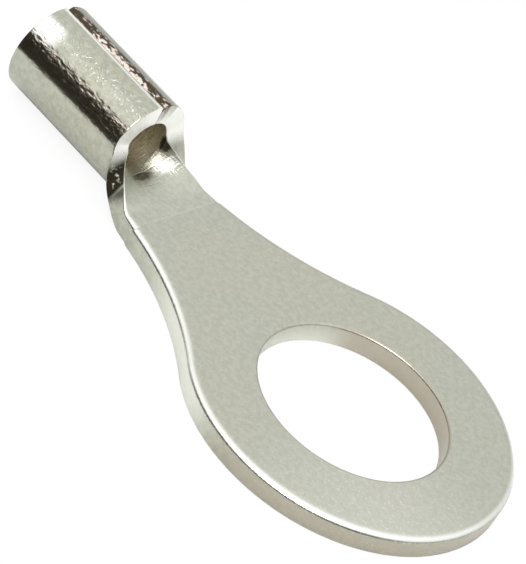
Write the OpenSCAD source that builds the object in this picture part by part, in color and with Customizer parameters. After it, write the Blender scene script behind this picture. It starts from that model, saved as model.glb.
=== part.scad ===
// Ring terminal: a flat ring for a stud, a tongue, and a rolled barrel that is
// crimped on a wire. All of it is one piece of sheet metal, blanked and folded.
//
// Frame: the origin is the centre of the stud hole on the underside, +X runs
// along the tongue to the wire, and +Z points up, out of the ring's upper face.
// A point of the sheet has the blank's coordinates: x along the terminal,
// s across the flat blank, and n up through the thickness.

/* [Sheet] */
// Thickness of the sheet
sheet_t = 0.75; // [0.5:0.05:1.0]
// Width of the edge rounded by the blanking die, on the upper face
edge_roll = 0.28; // [0.1:0.02:0.36]
// Depth of that rounded edge
edge_drop = 0.18; // [0.06:0.02:0.3]

/* [Ring] */
// Diameter of the stud hole
hole_d = 6.4; // [5.3:0.1:7.0]
// Outer diameter of the ring
ring_d = 11; // [10.4:0.1:11.3]
// Rounding at the upper rim of the stud hole
hole_edge = 0.08; // [0.04:0.02:0.2]

/* [Tongue] */
// Radius of the concave side between the ring and the tongue
side_r = 11.4; // [8:0.2:13]
// Angle of each tapered side to the terminal's axis
taper = 14; // [12:0.5:16]
// Width of the tongue at its neck, where the corners to the barrel start
neck_w = 3.5; // [3.2:0.05:4.0]
// Distance from the stud hole to the line where the sheet starts to fold up
fold_x = 9; // [8.6:0.1:10]
// Length of the trough, where the flat tongue is rolled up to the barrel's radius
trough_l = 1.55; // [1.2:0.05:3]
// Length of the fully rolled throat between the trough and the barrel's front edge
throat_l = 0.15; // [0.05:0.05:0.5]

/* [Barrel] */
// Outer diameter of the rolled barrel
barrel_d = 3.3; // [3.0:0.1:3.6]
// Length of the barrel
barrel_l = 4.85; // [3.5:0.05:7]
// Radius of the corner between the tongue's edge and the barrel's front edge
corner_r = 0.9; // [0.5:0.05:1.1]

/* [Seam] */
// Gap left where the two edges of the sheet butt
seam_gap = 0.04; // [0.02:0.01:0.1]
// Width of the groove along the outside of the seam
groove_w = 0.6; // [0.3:0.02:0.8]
// Depth of that groove
groove_d = 0.28; // [0.1:0.02:0.4]
// Width of the notch along the inside of the seam
notch_w = 0.4; // [0.2:0.02:0.5]
// Depth of that notch
notch_d = 0.16; // [0.1:0.02:0.24]

/* [Hidden] */

$fn = 96;
over = 1; // how far a cutter runs past what it cuts
roll_steps = 4; // facets of a rounded edge
corner_steps = 8; // stations round the corner at the barrel
side_steps = 10; // stations along the concave side
trough_steps = 12; // stations along the straight part of the trough
across_steps = 16; // facets across the sheet in the trough
ease = 1.4; // how gently the fold starts: the power its curvature grows with
bite = 0.3; // how far the trough runs into the barrel's wall
under = 0.01; // how far below the wall's surfaces it runs there
clear = 1; // how many degrees the concave side's first station stands off the ring

hole_r = hole_d / 2;
ring_r = ring_d / 2;
neck_half = neck_w / 2;
barrel_r = barrel_d / 2;
mid_r = barrel_r - sheet_t / 2; // radius of the sheet's middle in the barrel
barrel_x = fold_x + trough_l + throat_l;
corner_x = barrel_x - corner_r * (1 + sin(taper));
corner_c = [barrel_x - corner_r, neck_half + corner_r * cos(taper)]; // the corner's centre

// The tapered side is a line that ends at the neck, at corner_x. side_n is its
// outward normal, and side_c its distance from the origin.
side_n = [sin(taper), cos(taper)];
side_c = side_n * [corner_x, neck_half];
// The concave side's centre lies side_r outside that line and touches the ring.
arc_out = side_c + side_r;
arc_along = sqrt(pow(ring_r + side_r, 2) - pow(arc_out, 2));
arc_c = arc_out * side_n + arc_along * [cos(taper), -sin(taper)];
ring_angle = atan2(arc_c.y, arc_c.x); // where the ring meets the concave side

// Rounded edge as [distance in from the edge, height] pairs, from the side face
// up to the upper face, for a sheet edge at distance 0.
function roll(width, depth) = [
    for (i = [0:roll_steps])
        let (a = 90 * i / roll_steps)
            [width * (1 - cos(a)), sheet_t - depth + depth * sin(a)]
];

// Curvature of the sheet across the terminal at x: none on the flat tongue,
// and the barrel's own from its front edge on.
function bend(x) = pow(max(0, min(1, (x - fold_x) / trough_l)), ease) / mid_r;

// A point of the blank folded to its place. The sheet's middle keeps its length.
function folded(x, s, n) =
    let (k = bend(x), half = sheet_t / 2)
        k < 1e-6
            ? [x, s, n]
            : let (r = 1 / k + half - n, a = s * k * 180 / PI)
                [x, r * sin(a), half + 1 / k - r * cos(a)];

// Stations along the blank as [x, half width, angle of its edge to the axis].
// The first stands inside the ring, and the last in the barrel's wall.
stations = concat(
    [[0, hole_r, taper]],
    [for (i = [0:side_steps])
        let (from = ring_angle + clear, b = from + (90 - taper - from) * i / side_steps)
            [arc_c.x - side_r * cos(b), arc_c.y - side_r * sin(b), 90 - b]],
    [for (i = [0:trough_steps])
        let (x = fold_x + (corner_x - fold_x) * i / trough_steps)
            [x, neck_half + (corner_x - x) * tan(taper), taper]],
    [for (i = [1:corner_steps - 1])
        let (a = (90 + taper) * i / corner_steps - taper)
            [corner_c.x + corner_r * sin(a), corner_c.y - corner_r * cos(a), taper]],
    [for (x = [barrel_x, barrel_x + bite]) [x, corner_c.y, taper]]
);

// How far the folded sheet lies below the barrel's surfaces at x.
function sunk(x) = x < barrel_x ? 0 : under;

// The upper face at a station as [distance across the blank, height] pairs, from
// one rounded edge to the other.
function upper_face(station) =
    let (
        w = station[1],
        high = sheet_t - sunk(station.x),
        edge = roll(edge_roll / cos(station[2]), edge_drop),
        flat_w = w - edge_roll / cos(station[2])
    )
        concat(
            [for (i = [0:roll_steps - 1]) [edge[i][0] - w, min(high, edge[i][1])]],
            [for (i = [0:across_steps]) [flat_w * (2 * i / across_steps - 1), high]],
            [for (i = [roll_steps - 1:-1:0]) [w - edge[i][0], min(high, edge[i][1])]]
        );

// One closed section of the folded sheet: the lower face, then the upper face
// back again.
function section(station) =
    let (x = station.x, upper = upper_face(station))
        concat(
            [for (p = upper) folded(x, p[0], sunk(x))],
            [for (i = [len(upper) - 1:-1:0]) folded(x, upper[i][0], upper[i][1])]
        );

// Joins closed sections of equal point counts into one solid. Each section runs
// out along one face and back along the other.
module skin(rings) {
    n = len(rings[0]);
    end = (len(rings) - 1) * n;
    polyhedron(
        points = [for (ring = rings) each ring],
        faces = concat(
            [for (i = [0:n / 2 - 2]) each [[i, i + 1, n - 2 - i], [i, n - 2 - i, n - 1 - i]]],
            [for (j = [0:n:end - n], i = [0:n - 1])
                let (next = (i + 1) % n)
                    each [[j + i, j + n + i, j + n + next], [j + i, j + n + next, j + next]]],
            [for (i = [0:n / 2 - 2])
                each [
                    [end + i, end + n - 2 - i, end + i + 1],
                    [end + i, end + n - 1 - i, end + n - 2 - i]
                ]]
        )
    );
}

// The ring, with its rounded upper edge.
module ring() {
    rotate_extrude()
        polygon(concat(
            [[0, sheet_t], [0, 0], [ring_r, 0]],
            [for (e = roll(edge_roll, edge_drop)) [ring_r - e[0], e[1]]]
        ));
}

// The stud hole with its slightly rounded upper rim.
module stud_hole() {
    edge = roll(hole_edge, hole_edge);
    translate([0, 0, -over]) cylinder(h = sheet_t + 2 * over, r = hole_r);
    rotate_extrude()
        polygon(concat(
            [[0, sheet_t - hole_edge]],
            [for (e = edge) [hole_r + e[0], e[1]]],
            [[hole_r + hole_edge, sheet_t + over], [0, sheet_t + over]]
        ));
}

// The rolled barrel, open along its seam by the gap between the butted edges.
module barrel() {
    edge = roll(edge_roll, edge_drop);
    gap_angle = 2 * asin(seam_gap / 2 / mid_r);
    difference() {
        translate([barrel_x, 0, barrel_r])
            rotate([0, 90, 0])
                rotate([0, 0, 180 + gap_angle / 2])
                    rotate_extrude(angle = 360 - gap_angle)
                        polygon(concat(
                            [[barrel_r - sheet_t, 0], [barrel_r, 0], [barrel_r, barrel_l]],
                            [for (e = edge) [barrel_r - e[1], barrel_l - e[0]]]
                        ));
        seam_groove();
    }
}

// The groove outside the seam and the notch inside it.
module seam_groove() {
    top = barrel_d;
    inside = barrel_d - sheet_t;
    translate([barrel_x - over, 0, 0])
        rotate([90, 0, 90])
            linear_extrude(barrel_l + 2 * over) {
                polygon([
                    [0, top - groove_d],
                    [groove_w, top + groove_d],
                    [-groove_w, top + groove_d]
                ]);
                polygon([
                    [0, inside + notch_d],
                    [-notch_w, inside - notch_d],
                    [notch_w, inside - notch_d]
                ]);
            }
}

module ring_terminal() {
    color([0.79, 0.79, 0.74]) {
        union() {
            difference() {
                union() {
                    ring();
                    skin([for (station = stations) section(station)]);
                }
                stud_hole();
            }
            barrel();
        }
    }
}

ring_terminal();
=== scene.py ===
"""Dresses the ring terminal: a finely meshed copy of the folded sheet, its tin plate, and a small studio."""

import logging
import math
from dataclasses import dataclass
from enum import Enum
from typing import Any, Iterable

import bmesh
import bpy
from mathutils import Matrix, Vector
from mathutils.kdtree import KDTree


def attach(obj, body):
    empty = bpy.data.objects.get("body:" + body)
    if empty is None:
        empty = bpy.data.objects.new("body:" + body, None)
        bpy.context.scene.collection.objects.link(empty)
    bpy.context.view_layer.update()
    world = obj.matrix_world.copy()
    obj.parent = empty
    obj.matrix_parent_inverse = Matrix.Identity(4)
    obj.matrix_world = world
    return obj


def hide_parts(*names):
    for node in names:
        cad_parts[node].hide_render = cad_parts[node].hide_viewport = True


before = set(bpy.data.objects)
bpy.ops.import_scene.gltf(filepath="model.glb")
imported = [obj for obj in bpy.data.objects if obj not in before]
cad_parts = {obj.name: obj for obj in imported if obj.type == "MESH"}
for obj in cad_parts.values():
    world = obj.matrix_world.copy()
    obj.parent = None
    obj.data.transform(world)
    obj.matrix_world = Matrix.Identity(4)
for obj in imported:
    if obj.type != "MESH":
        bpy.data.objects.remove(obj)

log = logging.getLogger("ring_terminal")

MM = 0.001
UV_SCALE = 0.05  # the blank's map, to the millimetre
UV_MIDDLE = 0.5  # where the blank's middle line lies on the map
TOUCH = 1e-4  # millimetres within which two places are one
MERGE = 2e-4  # millimetres within which the folded sheet's points are joined
SLACK = 1e-3  # millimetres that a mark reaches past its border
STRAIGHT = 1e-6  # curvature below which the sheet counts as flat
NEAR_PLANE = 1e-6  # millimetres within which a point lies on a slicing plane
ON_MIRROR = 1e-5  # millimetres within which the mirrored halves are joined
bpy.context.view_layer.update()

Pair = tuple[float, float]
Colour = tuple[float, float, float, float]
Edges = list[bmesh.types.BMEdge]


class Axis(Enum):
    """The axes of the blank: along the terminal, across it, and up through the sheet."""

    ALONG = (1.0, 0.0, 0.0)
    ACROSS = (0.0, 1.0, 0.0)
    UP = (0.0, 0.0, 1.0)


class Mark(Enum):
    """What the tools left on the sheet, and where its edges carry a painted highlight, as attributes of its
    points.
    """

    PAINTED_HIGHLIGHT = "burnish"
    SHEARED = "sheared"
    TORN = "torn"
    UPPER = "upper"


class Pen:
    """Draws an outline in a bmesh with turns about a centre and straight lines."""

    def __init__(self, bm: bmesh.types.BMesh, start: Pair) -> None:
        """Puts the pen down.

        Args:
            bm: The mesh that takes the outline.
            start: The first point, in the blank's plane.
        """
        self.bm = bm
        self.at = bm.verts.new((*start, 0.0))

    def turn(self, centre: Pair, degrees: float, steps: int) -> None:
        """Draws an arc.

        Args:
            centre: What the arc turns about.
            degrees: How far it turns, counter-clockwise where positive.
            steps: How many edges it has.
        """
        made = bmesh.ops.spin(
            self.bm,
            geom=[self.at],
            cent=(*centre, 0.0),
            axis=Axis.UP.value,
            angle=math.radians(degrees),
            steps=steps,
            use_duplicate=False,
        )
        self.at = next(item for item in made["geom_last"] if isinstance(item, bmesh.types.BMVert))

    def line(self, end: Pair) -> None:
        """Draws a straight edge.

        Args:
            end: Where it ends.
        """
        made = bmesh.ops.extrude_vert_indiv(self.bm, verts=[self.at])
        self.at = made["verts"][0]
        self.at.co = (*end, 0.0)


@dataclass(frozen=True)
class Facets:
    """How many edges each round stretch has, and how many slices the folded part gets."""

    ring: int = 100
    side: int = 24
    corner: int = 16
    edge: int = 8
    lip: int = 6
    burr: int = 2
    hole: int = 160
    rim: int = 4
    near: int = 26
    far: int = 31
    columns: int = 40


@dataclass(frozen=True)
class EdgeBands:
    """Where the sheet's edges carry a painted highlight, and where the die sheared them. Depths are shares of
    the rounding's own.
    """

    brightest: float = 0.32  # depth of the painted highlight's brightest line
    reach: float = 0.30  # how far above and below that line the painted highlight ends
    gain: float = 1.6  # how soon the painted highlight is full
    face: float = 0.5  # depth where the upper face ends
    wall: float = 0.9  # depth where the sheared wall starts
    burr: float = 0.4  # where that wall ends, as a share of the burr's height
    lip: float = 0.12  # how far the painted highlight on the seam's lip reaches, in millimetres
    lip_share: float = 0.9  # how bright that painted lip highlight is


@dataclass
class Sheet:
    """The terminal as one blanked and folded sheet. Sizes are in millimetres, angles in degrees."""

    thick: float = 0.75
    roll: float = 0.28
    drop: float = 0.18
    burr: float = 0.03
    hole: float = 3.2
    rim: float = 0.08
    ring: float = 5.5
    side: float = 11.4
    taper: float = 14.0
    neck: float = 1.75
    fold: float = 9.0
    trough: float = 1.55
    throat: float = 0.15
    barrel: float = 1.65
    length: float = 4.85
    corner: float = 0.9
    gap: float = 0.05
    lips: Pair = (0.27, 0.07)
    crease: float = 8.45
    nick: float = 0.04
    plain_to: float = 8.2
    support: float = 0.05
    ease: float = 1.4  # how gently the fold starts: the power its curvature grows with
    thinned: float = 0.86  # how much of the rounding is gone at the barrel's front edge
    thin_from: float = 8.3  # where it starts to go
    thin_before: float = 0.6  # how far before the front edge it has gone
    near_step: float = 0.1  # the trough's slices
    far_step: float = 0.15  # the barrel's slices
    sharp: float = 50.0  # the angle from which a corner isn't smoothed
    facets: Facets = Facets()
    edge_bands: EdgeBands = EdgeBands()

    @property
    def middle(self) -> float:
        """The radius of the sheet's middle in the barrel."""
        return self.barrel - self.thick / 2

    @property
    def front(self) -> float:
        """Where the barrel starts."""
        return self.fold + self.trough + self.throat

    @property
    def wire_end(self) -> float:
        """Where the barrel ends."""
        return self.front + self.length

    @property
    def half_girth(self) -> float:
        """Half the width of the blank that is rolled into the barrel."""
        return math.pi * self.middle - self.gap / 2

    def build(self) -> bpy.types.Object:
        """Blanks, rounds, pierces, slices and folds the sheet.

        Returns:
            The finished object, in metres.
        """
        bm = bmesh.new()
        self._outline(bm)
        self._thicken(bm)
        self._round_edges(bm)
        self._pierce(bm)
        self._slice(bm)
        self._mark(bm)
        self._bend(bm)
        bmesh.ops.remove_doubles(bm, verts=bm.verts[:], dist=MERGE)
        bmesh.ops.recalc_face_normals(bm, faces=bm.faces[:])
        bmesh.ops.scale(bm, vec=(MM, MM, MM), verts=bm.verts[:])
        return self._finish(bm)

    def _outline(self, bm: bmesh.types.BMesh) -> None:
        """Draws the blank's outline and fills it.

        Args:
            bm: The empty mesh.
        """
        lean = math.radians(self.taper)
        normal = Vector((math.sin(lean), math.cos(lean)))
        along = Vector((math.cos(lean), -math.sin(lean)))
        corner = Vector((self.front - self.corner * (1 + math.sin(lean)), self.neck))
        out = normal.dot(corner) + self.side
        centre = normal * out + along * math.sqrt((self.ring + self.side) ** 2 - out**2)
        meets = math.degrees(math.atan2(centre.y, centre.x))
        marked = corner - along * ((corner.x - self.crease) / along.x)
        pen = Pen(bm, (-self.ring, 0.0))
        pen.turn((0.0, 0.0), -(180.0 - meets), self.facets.ring)
        pen.turn(tuple(centre), 90.0 - self.taper - meets, self.facets.side)
        pen.line(tuple(marked + normal * self.nick / 2))
        pen.line(tuple(marked + along * self.nick - normal * self.nick / 2))
        pen.line(tuple(corner))
        pen.turn(tuple(corner + normal * self.corner), 90.0 + self.taper, self.facets.corner)
        pen.line((self.front, self.half_girth))
        pen.line((self.wire_end, self.half_girth))
        pen.line((self.wire_end, 0.0))
        half = bm.verts[:] + bm.edges[:]
        bmesh.ops.mirror(bm, geom=half, matrix=Matrix.Identity(4), merge_dist=ON_MIRROR, axis="Y")
        spare = [v for v in bm.verts if v.co.x > self.wire_end - TOUCH and abs(v.co.y) < TOUCH]
        bmesh.ops.dissolve_verts(bm, verts=spare)
        bmesh.ops.contextual_create(bm, geom=bm.edges[:])

    def _thicken(self, bm: bmesh.types.BMesh) -> None:
        """Gives the blank its thickness, stretched so that an even bevel becomes the die's wide, shallow one.

        Args:
            bm: The filled outline.
        """
        made = bmesh.ops.extrude_face_region(bm, geom=bm.faces[:])
        risen = [item for item in made["geom"] if isinstance(item, bmesh.types.BMVert)]
        bmesh.ops.translate(bm, verts=risen, vec=(0.0, 0.0, self.thick * self.roll / self.drop))
        bmesh.ops.recalc_face_normals(bm, faces=bm.faces[:])

    def _flat(self, bm: bmesh.types.BMesh, height: float) -> list[bmesh.types.BMFace]:
        """The large faces that lie at a height.

        Args:
            bm: The blank.
            height: Their height.

        Returns:
            The level faces there, the largest first.
        """
        level = [f for f in bm.faces if all(abs(v.co.z - height) < TOUCH for v in f.verts)]
        return sorted(level, key=lambda f: f.calc_area(), reverse=True)

    def _bevel(self, bm: bmesh.types.BMesh, edges: Edges, width: float, steps: int) -> None:
        """Rounds edges.

        Args:
            bm: The blank.
            edges: The edges to round.
            width: How far the rounding reaches.
            steps: Its facets.
        """
        bmesh.ops.bevel(
            bm,
            geom=edges,
            offset=width,
            offset_type="OFFSET",
            segments=steps,
            profile=0.5,
            affect="EDGES",
            clamp_overlap=False,
            material=-1,
        )

    def _round_edges(self, bm: bmesh.types.BMesh) -> None:
        """Rounds the upper edge as the die does, the seam's outer lips, and the burr below.

        Args:
            bm: The thick blank.
        """
        tall = self.thick * self.roll / self.drop
        self._bevel(bm, list(self._flat(bm, tall)[0].edges), self.roll, self.facets.edge)
        bmesh.ops.scale(bm, vec=(1.0, 1.0, self.drop / self.roll), verts=bm.verts[:])
        self._ease_roll(bm)
        for side, width in zip((-1.0, 1.0), self.lips):
            lip = [
                e
                for e in self._flat(bm, 0.0)[0].edges
                if all(abs(v.co.y * side - self.half_girth) < SLACK for v in e.verts)
                and e.calc_length() > self.length / 2
            ]
            self._bevel(bm, lip, width, self.facets.lip)
        self._bevel(bm, list(self._flat(bm, 0.0)[0].edges), self.burr, self.facets.burr)
        for height in (self.thick, 0.0):
            flat = self._flat(bm, height)[:1]
            bmesh.ops.inset_region(bm, faces=flat, thickness=self.support, use_even_offset=True)

    def _roll_share(self, along: float) -> float:
        """How much of the die's rounding an edge has.

        Args:
            along: The edge's distance from the stud hole.

        Returns:
            All of it round the ring and tongue, and little on the barrel's front edge.
        """
        if along > self.front + self.support:
            return 1.0
        span = self.front - self.thin_before - self.thin_from
        share = min(1.0, max(0.0, (along - self.thin_from) / span))
        return 1.0 - self.thinned * share * share * (3 - 2 * share)

    def _ease_roll(self, bm: bmesh.types.BMesh) -> None:
        """Draws the rounded edge in towards the sheet's corner where the die rounded it less.

        Args:
            bm: The blank with an even rounding.
        """
        base = [v for v in bm.verts if abs(self.thick - v.co.z - self.drop) < TOUCH]
        tree = KDTree(len(base))
        for number, vert in enumerate(base):
            tree.insert((vert.co.x, vert.co.y, 0.0), number)
        tree.balance()
        corners = [vert.co.copy() for vert in base]
        for vert in bm.verts:
            if self.thick - vert.co.z > self.drop + TOUCH:
                continue
            foot = corners[tree.find((vert.co.x, vert.co.y, 0.0))[1]]
            share = self._roll_share(foot.x)
            vert.co.xy = foot.xy + (vert.co.xy - foot.xy) * share
            vert.co.z = self.thick - (self.thick - vert.co.z) * share

    def _pierce(self, bm: bmesh.types.BMesh) -> None:
        """Parts the flat from the rest, and punches the stud hole through it.

        Args:
            bm: The rounded blank.
        """
        geom = bm.verts[:] + bm.edges[:] + bm.faces[:]
        border_at = (self.plain_to, 0.0, 0.0)
        bmesh.ops.bisect_plane(bm, geom=geom, dist=NEAR_PLANE, plane_co=border_at, plane_no=Axis.ALONG.value)
        wall: list[Edges] = []
        for height, reach in ((0.0, self.burr), (self.thick, self.rim)):
            plain = next(
                f
                for f in self._flat(bm, height)
                if f.calc_center_median().x < self.fold and min(v.co.x for v in f.verts) < 0
            )
            border = list(plain.edges)
            bmesh.ops.delete(bm, geom=[plain], context="FACES_ONLY")
            radius = self.hole + reach + self.support
            made = bmesh.ops.create_circle(bm, cap_ends=False, radius=radius, segments=self.facets.hole)
            bmesh.ops.translate(bm, verts=made["verts"], vec=(0.0, 0.0, height))
            loop = list({e for v in made["verts"] for e in v.link_edges})
            bmesh.ops.triangle_fill(
                bm,
                use_beauty=True,
                use_dissolve=False,
                edges=border + loop,
                normal=Axis.UP.value,
            )
            wall.append(self._rim(bm, loop, height, reach))
        bmesh.ops.bridge_loops(bm, edges=wall[0] + wall[1])

    def _rim(self, bm: bmesh.types.BMesh, loop: Edges, height: float, reach: float) -> Edges:
        """Rounds the stud hole's rim inwards from a circle on a flat.

        Args:
            bm: The blank.
            loop: The circle's edges.
            height: The flat's height.
            reach: The rounding's size.

        Returns:
            The edges of the last circle, where the hole's wall starts.
        """
        inwards = -1.0 if height > 0 else 1.0
        radius = self.hole + reach + self.support
        for i in range(self.facets.rim + 1):
            angle = math.pi / 2 * i / self.facets.rim
            made = bmesh.ops.extrude_edge_only(bm, edges=loop)["geom"]
            verts = [g for g in made if isinstance(g, bmesh.types.BMVert)]
            target = self.hole + reach * (1 - math.sin(angle))
            bmesh.ops.scale(bm, vec=(target / radius, target / radius, 1.0), verts=verts)
            sunk = height + inwards * reach * (1 - math.cos(angle))
            bmesh.ops.translate(bm, verts=verts, vec=(0.0, 0.0, sunk - verts[0].co.z))
            radius = target
            ends = set(verts)
            loop = [g for g in made if isinstance(g, bmesh.types.BMEdge) and all(v in ends for v in g.verts)]
        return loop

    def _cut(self, bm: bmesh.types.BMesh, axis: Axis, places: Iterable[float]) -> None:
        """Slices what lies beyond the plain flat.

        Args:
            bm: The pierced blank.
            axis: The planes' normal.
            places: Where they stand along it.
        """
        for place in places:
            faces = [f for f in bm.faces if min(v.co.x for v in f.verts) > self.plain_to - TOUCH]
            edges = {e for f in faces for e in f.edges}
            verts = {v for f in faces for v in f.verts}
            bmesh.ops.bisect_plane(
                bm,
                geom=[*faces, *edges, *verts],
                dist=NEAR_PLANE,
                plane_co=Vector(axis.value) * place,
                plane_no=axis.value,
            )

    def _slice(self, bm: bmesh.types.BMesh) -> None:
        """Slices the part that gets folded into a fine grid.

        Args:
            bm: The pierced blank.
        """
        near = [self.plain_to + self.near_step * i for i in range(1, self.facets.near + 1)]
        far = [self.front + self.far_step * i for i in range(1, self.facets.far + 1)]
        ends = [self.front + self.support * i for i in (1, 2)]
        ends += [self.wire_end - self.support * i for i in (1, 2)]
        self._cut(bm, Axis.ALONG, sorted(near + far + ends))
        columns = self.facets.columns
        self._cut(bm, Axis.ACROSS, [self.half_girth * i / columns for i in range(1 - columns, columns)])

    def _mark(self, bm: bmesh.types.BMesh) -> None:
        """Stores the blank's coordinates as a UV map, and the tools' marks and the painted edge highlight as
        attributes.

        Args:
            bm: The sliced blank.
        """
        uv = bm.loops.layers.uv.new("blank")
        layers = {mark: bm.verts.layers.float.new(mark.value) for mark in Mark}
        for vert in bm.verts:
            for mark, value in self._marks_at(vert.co).items():
                vert[layers[mark]] = value
        for face in bm.faces:
            for loop in face.loops:
                place = loop.vert.co
                loop[uv].uv = (place.x * UV_SCALE, place.y * UV_SCALE + UV_MIDDLE)

    def _marks_at(self, place: Vector) -> dict[Mark, float]:
        """Tells what the tools left at a point of the flat blank, and how much painted highlight lies there.

        Args:
            place: The point.

        Returns:
            Each mark's strength there.
        """
        edge_bands = self.edge_bands
        depth = (self.thick - place.z) / self.drop / self._roll_share(place.x)
        on_hole = place.xy.length < self.hole + self.rim + SLACK
        # painted highlight: a band across the die's rounding, a line on the seam's lip, and none in the stud
        # hole
        burnish = min(1.0, edge_bands.gain * max(0.0, 1.0 - abs(depth - edge_bands.brightest) / edge_bands.reach))
        on_barrel = place.x > self.front - SLACK
        if on_barrel and self.half_girth - place.y < edge_bands.lip and place.z < edge_bands.lip:
            burnish = edge_bands.lip_share
        elif on_hole:
            burnish = 0.0
        width = self.lips[0]
        torn = on_barrel and SLACK < self.half_girth + place.y < width and place.z < width
        return {
            Mark.PAINTED_HIGHLIGHT: burnish,
            Mark.SHEARED: float(edge_bands.burr * self.burr < place.z and depth > edge_bands.wall),
            Mark.TORN: float(torn),
            Mark.UPPER: float(depth < edge_bands.face),
        }

    def bend_at(self, along: float) -> float:
        """How strongly the sheet is rolled.

        Args:
            along: The distance from the stud hole.

        Returns:
            Its curvature, from none on the flat to the barrel's own.
        """
        share = min(1.0, max(0.0, (along - self.fold) / self.trough))
        return share**self.ease / self.middle

    def _bend(self, bm: bmesh.types.BMesh) -> None:
        """Folds the sheet up into the trough and the barrel.

        Args:
            bm: The marked blank.
        """
        half = self.thick / 2
        for vert in bm.verts:
            along, across, up = vert.co
            bend = self.bend_at(along)
            if bend < STRAIGHT:
                continue
            angle = across * bend
            radius = 1 / bend + half - up
            vert.co = (along, radius * math.sin(angle), half + 1 / bend - radius * math.cos(angle))

    def _finish(self, bm: bmesh.types.BMesh) -> bpy.types.Object:
        """Writes the mesh to an object with smooth shading between its sharp corners.

        Args:
            bm: The folded sheet.

        Returns:
            The object.
        """
        mesh = bpy.data.meshes.new("terminal_sheet")
        bm.to_mesh(mesh)
        bm.free()
        mesh.shade_smooth()
        mesh.set_sharp_from_angle(angle=math.radians(self.sharp))
        piece = bpy.data.objects.new("terminal_sheet", mesh)
        bpy.context.scene.collection.objects.link(piece)
        return piece


class Wire:
    """A node's output with the arithmetic of a number, so that shader maths reads as maths."""

    def __init__(self, tree: "Tree", socket: bpy.types.NodeSocket) -> None:
        """Wraps a socket.

        Args:
            tree: The tree that it belongs to.
            socket: The output.
        """
        self.tree = tree
        self.socket = socket

    def _do(self, operation: str, *values: Any) -> "Wire":
        """Adds a Math node.

        Args:
            operation: What it does.
            values: Its inputs.

        Returns:
            Its output.
        """
        return self.tree.node("ShaderNodeMath", {"operation": operation}, dict(enumerate(values)))

    def __add__(self, other: Any) -> "Wire":
        """self + other."""
        return self._do("ADD", self, other)

    __radd__ = __add__

    def __sub__(self, other: Any) -> "Wire":
        """self - other."""
        return self._do("SUBTRACT", self, other)

    def __rsub__(self, other: Any) -> "Wire":
        """other - self."""
        return self._do("SUBTRACT", other, self)

    def __mul__(self, other: Any) -> "Wire":
        """self * other."""
        return self._do("MULTIPLY", self, other)

    __rmul__ = __mul__

    def __truediv__(self, other: Any) -> "Wire":
        """self / other."""
        return self._do("DIVIDE", self, other)

    def smooth(self, low: float, high: float) -> "Wire":
        """A smooth step.

        Args:
            low: Where it is 0.
            high: Where it is 1.

        Returns:
            The step.
        """
        settings = {"interpolation_type": "SMOOTHSTEP"}
        inputs = {"Value": self, "From Min": low, "From Max": high}
        return self.tree.node("ShaderNodeMapRange", settings, inputs)

    def fall(self, low: float, high: float) -> "Wire":
        """A smooth step down, from 1 at low to 0 at high."""
        return 1.0 - self.smooth(low, high)

    def band(self, rise: Pair, fall: Pair) -> "Wire":
        """A band with soft borders.

        Args:
            rise: Where it comes up from 0 to 1.
            fall: Where it goes back to 0.

        Returns:
            1 in the band and 0 outside.
        """
        return self.smooth(*rise) * self.fall(*fall)


class Tree:
    """A node tree that is filled with one method."""

    def __init__(self, tree: bpy.types.NodeTree) -> None:
        """Empties the tree.

        Args:
            tree: A material's or the world's tree.
        """
        self.tree = tree
        tree.nodes.clear()

    def node(
        self,
        kind: str,
        settings: dict[str, Any] | None = None,
        inputs: dict[Any, Any] | None = None,
        out: Any = 0,
    ) -> Wire:
        """Adds a node.

        Args:
            kind: Its type.
            settings: Its own settings, which are set first.
            inputs: Values or links for its sockets, by name or number.
            out: Which output is returned.

        Returns:
            That output.
        """
        made = self.tree.nodes.new(kind)
        for name, value in (settings or {}).items():
            setattr(made, name, value)
        for name, value in (inputs or {}).items():
            socket = made.inputs[name]
            if isinstance(value, Wire):
                self.tree.links.new(value.socket, socket)
            else:
                socket.default_value = value
        return Wire(self, made.outputs[out] if len(made.outputs) else None)

    def blend(self, share: Any, low: Any, high: Any) -> Wire:
        """Mixes two colours.

        Args:
            share: How much of the second there is.
            low: The first colour.
            high: The second colour.

        Returns:
            The mixture.
        """
        made = self.tree.nodes.new("ShaderNodeMix")
        made.data_type = "RGBA"
        colours = [s for s in made.inputs if s.type == "RGBA"]
        for socket, value in ((made.inputs[0], share), (colours[0], low), (colours[1], high)):
            if isinstance(value, Wire):
                self.tree.links.new(value.socket, socket)
            else:
                socket.default_value = value
        return Wire(self, next(s for s in made.outputs if s.type == "RGBA"))

    def parts(self, vector: Wire) -> list[Wire]:
        """Splits a vector.

        Args:
            vector: The vector.

        Returns:
            Its three coordinates.
        """
        first = self.node("ShaderNodeSeparateXYZ", inputs={0: vector})
        return [Wire(self, socket) for socket in first.socket.node.outputs]

    def stretch(self, place: Wire, scale: tuple[float, float, float]) -> Wire:
        """Stretches coordinates.

        Args:
            place: The coordinates.
            scale: By how much, in each direction.

        Returns:
            The stretched coordinates.
        """
        return self.node("ShaderNodeVectorMath", {"operation": "MULTIPLY"}, {0: place, 1: scale})

    def noise(self, place: Wire, scale: float, detail: float) -> Wire:
        """Adds a noise pattern.

        Args:
            place: The coordinates.
            scale: Its waves to the coordinates' unit.
            detail: Its finer layers.

        Returns:
            Its value.
        """
        return self.node("ShaderNodeTexNoise", inputs={"Vector": place, "Scale": scale, "Detail": detail})

    def bump(self, height: Wire, distance: float, below: Wire | None = None) -> Wire:
        """Adds relief.

        Args:
            height: The relief's height, from 0 to 1.
            distance: What a height of 1 stands for, in metres.
            below: The relief that it lies on.

        Returns:
            The normal.
        """
        inputs: dict[Any, Any] = {"Strength": 1.0, "Distance": distance, "Height": height}
        if below is not None:
            inputs["Normal"] = below
        return self.node("ShaderNodeBump", inputs=inputs)


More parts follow.
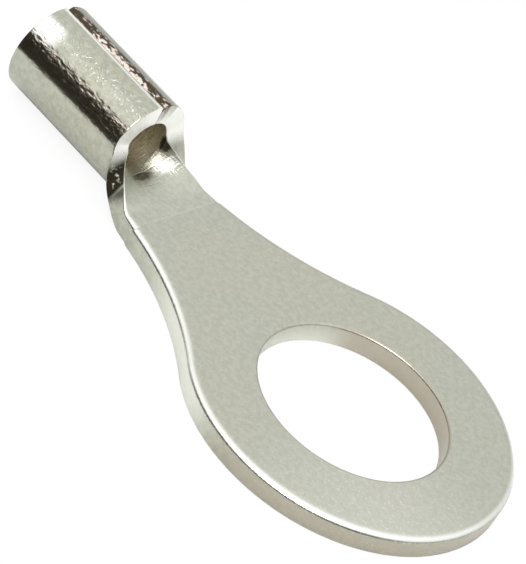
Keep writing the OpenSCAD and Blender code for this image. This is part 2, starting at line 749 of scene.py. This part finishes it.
@dataclass(frozen=True)
class Pattern:
    """Noise on the blank: its waves along and across the map's unit, and its finer layers."""

    along: float
    across: float
    detail: float = 2.0

    def wire(self, tree: Tree, blank: Wire) -> Wire:
        """Adds the noise to a tree."""
        return tree.noise(tree.stretch(blank, (self.along, self.across, 1.0)), 1.0, self.detail)


@dataclass(frozen=True)
class PaintedSpot:
    """A soft painted spot of light or shade on the blank with a streaky border, placed along the terminal and
    across the blank.
    """

    centre: Pair
    reach: Pair
    fray: float = 2.4  # how far the streaks pull its border about
    border: Pair = (0.35, 1.25)  # where it starts and ends to fade, as squares of the reach

    def wire(self, skin: "Skin") -> Wire:
        """Draws the spot on the upper face.

        Args:
            skin: What the sheet has at each point.

        Returns:
            1 in the spot and 0 outside.
        """
        wide = (skin.along - self.centre[0]) / self.reach[0]
        high = (skin.across - self.centre[1]) / self.reach[1]
        far = wide * wide + high * high + (skin.streaks - 0.5) * self.fray
        return far.fall(*self.border) * skin.upper


class Skin:
    """What the tin plate reads at a point: its place in millimetres, the tools' marks, the painted edge
    highlight and the noises.
    """

    def __init__(self, tree: Tree, sheet: Sheet) -> None:
        """Adds the nodes.

        Args:
            tree: The material's tree.
            sheet: The sheet that is plated.
        """
        place = tree.node("ShaderNodeTexCoord", out="Object")
        blank = tree.node("ShaderNodeUVMap", {"uv_map": "blank"})
        level = tree.stretch(place, (1.0, 1.0, 0.0))
        x, y, _ = tree.parts(place)
        self.along = x / MM
        self.beside = y / MM
        self.across = (tree.parts(blank)[1] - UV_MIDDLE) / UV_SCALE
        self.from_stud = tree.node("ShaderNodeVectorMath", {"operation": "LENGTH"}, {0: level}, "Value") / MM
        # the first attribute is the painted highlight on the rounded edges and the seam's lip
        self.worn, self.sheared, self.torn, self.upper = (
            tree.node("ShaderNodeAttribute", {"attribute_name": mark.value}, out="Fac") for mark in Mark
        )
        self.cloud = tree.noise(place, 260.0, 2.0)
        self.grain = tree.noise(place, 13000.0, 2.0)
        # specks: relief, and painted glints
        self.speck_and_glint = tree.noise(place, 12500.0, 3.0)
        self.mottle = tree.noise(place, 5200.0, 3.0)
        self.lumps = Pattern(75.0, 170.0, 3.0).wire(tree, blank)
        self.drawn = Pattern(34.0, 330.0).wire(tree, blank)
        self.flakes = Pattern(90.0, 260.0).wire(tree, blank)
        self.hoop = Pattern(300.0, 42.0).wire(tree, blank)
        self.curl = Pattern(150.0, 260.0).wire(tree, blank)
        self.streaks = 0.5 * self.drawn + 0.5 * self.hoop
        front = sheet.front
        self.barrel = self.along.smooth(front - 0.3, front + 0.2)
        self.inner = self.upper * self.along.smooth(front - 0.6, front + 0.5)
        # the front rim's cut face, which gets a painted highlight
        self.cut = self.sheared * self.along.band((front - 0.3, front - 0.05), (front + 0.1, front + 0.3))
        below = self.along.band((front - 0.92, front - 0.78), (front - 0.38, front - 0.20))
        # the fillet corner below the front rim, which gets painted shade
        self.corner = self.sheared * below * self.across.smooth(0.0, 0.2)
        # a band along the barrel beside the seam, lighter in ragged patches and a little rough
        self.patchy_band = self.barrel * self.across.band((3.0, 3.24), (3.44, 3.68)) * self.curl.smooth(0.55, 0.63)


@dataclass(frozen=True)
class TinPlate:
    """Tin over copper sheet: grey with a breath of green, finely pebbled, with painted highlights on its
    edges and painted light and shade in places.

    Each blend lays one more colour on what is below, and the numbers that its masks are multiplied by say how
    much of it at most. Places are in millimetres.
    """

    sheet: Sheet
    name: str = "tin_plate"
    cool: Colour = (0.470, 0.485, 0.400, 1.0)
    warm: Colour = (0.515, 0.490, 0.400, 1.0)
    # a pale tone, for the lighter upper face and patches, and for painted light: the crease, the ring's
    # sheen, the specks' glints and the tongue's walls
    light: Colour = (0.74, 0.76, 0.68, 1.0)
    # near white, for painted highlights: the rounded edges, the front edge, the burst and the wire end
    bright: Colour = (0.97, 0.97, 0.93, 1.0)
    # brown for the walls round the ring, and painted shade in the stud hole
    brown: Colour = (0.44, 0.40, 0.325, 1.0)
    # dark, for the mottle, and for painted shade inside the opening and in the seam's groove
    dark: Colour = (0.075, 0.058, 0.038, 1.0)
    # near black painted shade in the opening and its corner
    deep_shade: Colour = (0.020, 0.014, 0.008, 1.0)
    # cream, for the torn flank's bare metal and the flank's painted highlight
    cream: Colour = (0.78, 0.68, 0.60, 1.0)
    # painted light inside the trough and the bore
    inner_light: Colour = (0.95, 0.89, 0.72, 1.0)
    # painted light before the bore, and painted shade in two spots inside
    burst: PaintedSpot = PaintedSpot((10.16, -1.24), (0.20, 0.80))
    far_shade: PaintedSpot = PaintedSpot((10.57, -1.96), (0.22, 0.52))
    low_shade: PaintedSpot = PaintedSpot((10.21, 0.06), (0.17, 0.60))
    pebble: float = 8e-6  # the grain's relief, in metres
    relief: float = 3e-5  # the streaks' and the torn flank's

    def make(self) -> bpy.types.Material:
        """Builds the material.

        Returns:
            The material.
        """
        material = bpy.data.materials.new(self.name)
        material.use_nodes = True
        tree = Tree(material.node_tree)
        skin = Skin(tree, self.sheet)
        colour = self._flats(tree, skin)
        colour = self._walls(tree, skin, colour)
        colour = self._opening(tree, skin, colour)
        colour = self._seam(tree, skin, colour)
        inputs = {
            "Base Color": colour,
            # less metallic where the front rim's cut face has its painted highlight
            "Metallic": 1.0 - 0.6 * skin.cut,
            "Roughness": self._roughness(skin),
            "Normal": self._normal(tree, skin),
        }
        shader = tree.node("ShaderNodeBsdfPrincipled", inputs=inputs)
        tree.node("ShaderNodeOutputMaterial", inputs={"Surface": shader})
        return material

    def _flats(self, tree: Tree, skin: Skin) -> Wire:
        """Colours the plain plate: clouds and mottle, a painted highlight along the crease with painted light
        past it, a lighter upper face with a painted sheen at the ring's lower end, specks with painted
        glints, and lighter patches along the barrel.

        Args:
            tree: The material's tree.
            skin: What the sheet has at each point.

        Returns:
            The colour.
        """
        line = self.sheet.crease
        crease_highlight = skin.along.band((line - 0.04, line), (line, line + 0.05))
        beyond = skin.along.band((line, line + 0.05), (9.2, 9.8))
        # painted sheen on the ring's lower end
        low = skin.along.fall(-4.5, 1.0) * skin.beside.smooth(-2.0, 3.0)
        flat = skin.along.fall(9.5, 10.5)
        colour = tree.blend(0.4 * skin.cloud.smooth(0.45, 0.65), self.cool, self.warm)
        # painted light: a highlight along the crease, and a lighter stretch past it where the sheet tilts
        colour = tree.blend(0.12 * beyond + 0.30 * crease_highlight, colour, self.light)
        colour = tree.blend(0.16 * skin.mottle.smooth(0.35, 0.65), colour, self.dark)
        # lighter upper face short of the barrel, plus the painted sheen on the ring
        colour = tree.blend(skin.upper * (0.20 * flat + 0.30 * low), colour, self.light)
        # specks with painted glints, strongest in the sheen
        colour = tree.blend(skin.speck_and_glint.smooth(0.55, 0.70) * (0.20 + 0.55 * low), colour, self.light)
        # lighter in ragged patches along a band of the barrel
        return tree.blend(skin.patchy_band * 0.5, colour, self.light)

    def _walls(self, tree: Tree, skin: Skin, colour: Wire) -> Wire:
        """Colours the cut walls: brown round the ring, painted shade in the stud hole, painted light on the
        walls along the tongue, and a painted highlight on the front edge.

        Args:
            tree: The material's tree.
            skin: What the sheet has at each point.
            colour: The plain plate's colour.

        Returns:
            The colour with the walls.
        """
        along = skin.along
        # painted shade in the stud hole's wall
        hole = skin.from_stud.fall(self.sheet.hole + 0.06, self.sheet.hole + 0.09) * along.fall(2.0, 2.9)
        # painted light on the walls and underside along the tongue
        pale = along.smooth(0.5, 2.5) * (1.0 - 0.75 * along.smooth(5.0, 7.5)) * along.fall(7.8, 8.5)
        colour = tree.blend(skin.sheared * along.fall(-0.5, 1.5) * 0.7, colour, self.brown)
        colour = tree.blend((1.0 - skin.upper) * pale * 0.95, colour, self.light)
        colour = tree.blend(hole * 0.8, colour, self.brown)
        # painted highlight on the front rim's cut face
        return tree.blend(skin.cut * 0.9, colour, self.bright)

    def _opening(self, tree: Tree, skin: Skin, colour: Wire) -> Wire:
        """Colours the trough and the bore: the inside painted pale and warm for the light it reflects, darker
        painted reflection streaks, the painted burst of light before it, and painted shade in two spots and
        in the corner.

        Args:
            tree: The material's tree.
            skin: What the sheet has at each point.
            colour: The colour so far.

        Returns:
            The colour with the opening.
        """
        # painted light: the inside pale and warm, with darker painted reflection streaks
        colour = tree.blend(0.95 * skin.inner, colour, self.inner_light)
        colour = tree.blend(skin.inner * skin.hoop.smooth(0.46, 0.66) * 0.40, colour, self.dark)
        rays = 0.2 + 0.5 * skin.hoop.smooth(0.40, 0.60)
        # painted burst of light before the bore
        colour = tree.blend(self.burst.wire(skin) * rays, colour, self.bright)
        # painted shade in two spots inside, and in the fillet corner
        colour = tree.blend(self.far_shade.wire(skin) * 0.93, colour, self.deep_shade)
        colour = tree.blend(self.low_shade.wire(skin) * 0.75, colour, self.dark)
        return tree.blend(skin.corner * skin.mottle.smooth(0.32, 0.42) * 0.97, colour, self.deep_shade)

    def _seam(self, tree: Tree, skin: Skin, colour: Wire) -> Wire:
        """Colours the barrel: a painted highlight along its flank and another at the wire end, painted
        highlights on the rounded edges and the seam's lip, and the seam's torn flank, cream metal with dark
        patches of painted shade.

        Args:
            tree: The material's tree.
            skin: What the sheet has at each point.
            colour: The colour so far.

        Returns:
            The finished colour.
        """
        along, across, flakes = skin.along, skin.across, skin.flakes
        front, end = self.sheet.front, self.sheet.wire_end
        flank_highlight = across.band((2.56, 2.70), (2.80, 2.98)) * skin.barrel
        wire_end_highlight = along.smooth(end - 1.15, end - 0.65) * across.band((2.72, 2.92), (3.32, 3.52))
        middle = along.band((front + 0.6, front + 1.2), (end - 1.75, end - 0.95))
        bare = flakes + 0.22 * middle * across.fall(-3.92, -3.78) - 0.10
        # painted highlights: a ragged line along the flank, and a patch at the wire end
        colour = tree.blend(flank_highlight * flakes.smooth(0.50, 0.58), colour, self.cream)
        colour = tree.blend(wire_end_highlight * flakes.smooth(0.25, 0.40), colour, self.bright)
        # painted highlight on the rounded edges and the seam's lip
        colour = tree.blend(skin.worn, colour, self.bright)
        # the seam's torn flank: cream bare metal, and dark patches of painted groove shade
        return tree.blend(skin.torn, colour, tree.blend(bare.smooth(0.44, 0.56), self.dark, self.cream))

    def _roughness(self, skin: Skin) -> Wire:
        """Satin on the flats, glossier on the barrel, duller inside and on the corner.

        Args:
            skin: What the sheet has at each point.

        Returns:
            The roughness.
        """
        plain = 0.27 + 0.12 * skin.grain - 0.17 * skin.barrel - 0.05 * skin.worn
        return plain + 0.20 * skin.inner + 0.35 * skin.corner

    def _normal(self, tree: Tree, skin: Skin) -> Wire:
        """Pebbles the plate, and roughens the streak, the throat, the torn flank and the patchy band.

        Args:
            tree: The material's tree.
            skin: What the sheet has at each point.

        Returns:
            The normal.
        """
        throat = skin.along.band((9.0, 10.0), (13.5, 15.0))
        rag = skin.across.band((2.44, 2.64), (2.88, 3.08)) * skin.barrel
        fine = (skin.grain * 0.6 + skin.speck_and_glint * 0.4) * (1.0 - 0.7 * skin.barrel)
        uneven = skin.lumps * (0.15 * skin.barrel + 0.9 * rag) + skin.streaks * throat * skin.upper * 1.2
        uneven = uneven + skin.torn * skin.flakes * 2.0 + skin.patchy_band * 0.25
        return tree.bump(uneven, self.relief, tree.bump(fine, self.pebble))


@dataclass(frozen=True)
class Shot:
    """The camera, with its axes in the terminal's frame."""

    place: tuple[float, float, float] = (-24.4181, 59.3974, 48.8406)
    right: tuple[float, float, float] = (-0.643639, -0.644942, 0.412041)
    down: tuple[float, float, float] = (-0.67676, 0.228215, -0.699938)
    ahead: tuple[float, float, float] = (0.357386, -0.729361, -0.583359)
    lens: float = 169.15
    sensor: float = 36.0
    clip: Pair = (0.001, 10.0)

    def make(self) -> None:
        """Adds the camera and makes it the scene's."""
        data = bpy.data.cameras.new("camera")
        data.lens = self.lens
        data.sensor_width = self.sensor
        data.clip_start, data.clip_end = self.clip
        camera = bpy.data.objects.new("camera", data)
        bpy.context.scene.collection.objects.link(camera)
        turn = Matrix((self.right, [-v for v in self.down], [-v for v in self.ahead])).transposed()
        camera.matrix_world = Matrix.Translation(Vector(self.place) * MM) @ turn.to_4x4()
        bpy.context.scene.camera = camera


@dataclass(frozen=True)
class Softbox:
    """A square lamp that looks at the terminal. Its places and size are in metres, its power in watts."""

    name: str
    place: tuple[float, float, float]
    size: float
    power: float
    aim: tuple[float, float, float] = (0.005, 0.0, 0.0)

    def make(self) -> None:
        """Adds the lamp."""
        data = bpy.data.lights.new(self.name, "AREA")
        data.shape = "SQUARE"
        data.size = self.size
        data.energy = self.power
        lamp = bpy.data.objects.new(self.name, data)
        bpy.context.scene.collection.objects.link(lamp)
        turn = (Vector(self.aim) - Vector(self.place)).to_track_quat("-Z", "Y")
        lamp.matrix_world = Matrix.Translation(self.place) @ turn.to_matrix().to_4x4()


@dataclass(frozen=True)
class Level:
    """The tent's brightness on one side, from the table up: its base, and what it gains with height."""

    base: float
    gain: float
    span: Pair

    def wire(self, height: Wire) -> Wire:
        """The brightness at a height."""
        return self.base + self.gain * height.smooth(*self.span)


@dataclass(frozen=True)
class Studio:
    """A white table in a pale tent, with the room's dark gap low on the camera's side."""

    lamps: tuple[Softbox, ...] = (Softbox("key", (-0.10, 0.30, 0.42), 0.30, 1.6),)
    away: Level = Level(0.70, 0.45, (0.1, 0.95))
    near: Level = Level(1.05, 0.4, (0.5, 0.9))
    near_side: Pair = (0.0, 0.35)  # between these Y of a direction the camera's side starts
    gap: tuple[Pair, Pair] = ((-0.55, -0.25), (0.46, 0.58))  # the Z of a direction where it starts and ends
    gap_depth: float = 0.96
    gap_tint: Colour = (1.0, 0.84, 0.66, 1.0)
    white: Colour = (1.0, 1.0, 1.0, 1.0)
    table: Colour = (0.80, 0.80, 0.80, 1.0)
    table_glow: float = 1.02
    table_share: float = 0.88  # how much of the table is glow to the camera
    table_radius: float = 0.0165
    table_sides: int = 96
    table_centre: tuple[float, float, float] = (0.005, 0.0, -0.00002)

    def make(self) -> None:
        """Adds the world, the lamps and the floor."""
        self._world()
        for lamp in self.lamps:
            lamp.make()
        self._floor()

    def _world(self) -> None:
        """Lights the scene, and shows plain white to the camera."""
        world = bpy.data.worlds.new("studio")
        world.use_nodes = True
        bpy.context.scene.world = world
        tree = Tree(world.node_tree)
        _, y, z = tree.parts(tree.node("ShaderNodeTexCoord", out="Generated"))
        side = y.smooth(*self.near_side)
        gap = z.band(*self.gap) * side
        seen = tree.node("ShaderNodeLightPath", out="Is Camera Ray")
        plain = self.away.wire(z) * (1.0 - side) + self.near.wire(z) * side
        strength = (plain * (1.0 - self.gap_depth * gap)) * (1.0 - seen) + seen
        tint = tree.blend(gap * (1.0 - seen), self.white, self.gap_tint)
        glow = tree.node("ShaderNodeBackground", inputs={"Color": tint, "Strength": strength})
        tree.node("ShaderNodeOutputWorld", inputs={"Surface": glow})

    def _floor(self) -> None:
        """Adds the white table, which glows for the camera and still takes the shadow."""
        bm = bmesh.new()
        bmesh.ops.create_circle(bm, cap_ends=True, radius=self.table_radius, segments=self.table_sides)
        bmesh.ops.translate(bm, verts=bm.verts[:], vec=self.table_centre)
        mesh = bpy.data.meshes.new("floor")
        bm.to_mesh(mesh)
        bm.free()
        table = bpy.data.objects.new("floor", mesh)
        bpy.context.scene.collection.objects.link(table)
        material = bpy.data.materials.new("white_table")
        material.use_nodes = True
        tree = Tree(material.node_tree)
        lit = tree.node("ShaderNodeBsdfDiffuse", inputs={"Color": self.table})
        glow = tree.node("ShaderNodeEmission", inputs={"Color": self.white, "Strength": self.table_glow})
        seen = tree.node("ShaderNodeLightPath", out="Is Camera Ray")
        shader = tree.node("ShaderNodeMixShader", inputs={0: self.table_share * seen, 1: lit, 2: glow})
        tree.node("ShaderNodeOutputMaterial", inputs={"Surface": shader})
        mesh.materials.append(material)


def main() -> None:
    """Builds the terminal and its studio."""
    logging.basicConfig(level=logging.INFO, format="%(name)s: %(message)s")
    scene = bpy.context.scene
    scene.view_settings.view_transform = "Standard"
    Shot().make()
    log.info("camera placed")
    sheet = Sheet()
    piece = sheet.build()
    piece.data.materials.append(TinPlate(sheet).make())
    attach(piece, "root")
    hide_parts("ring_terminal")
    log.info("terminal sheet: %d faces", len(piece.data.polygons))
    Studio().make()
    log.info("studio lit")
    bpy.context.view_layer.update()


if __name__ == "__main__":
    main()
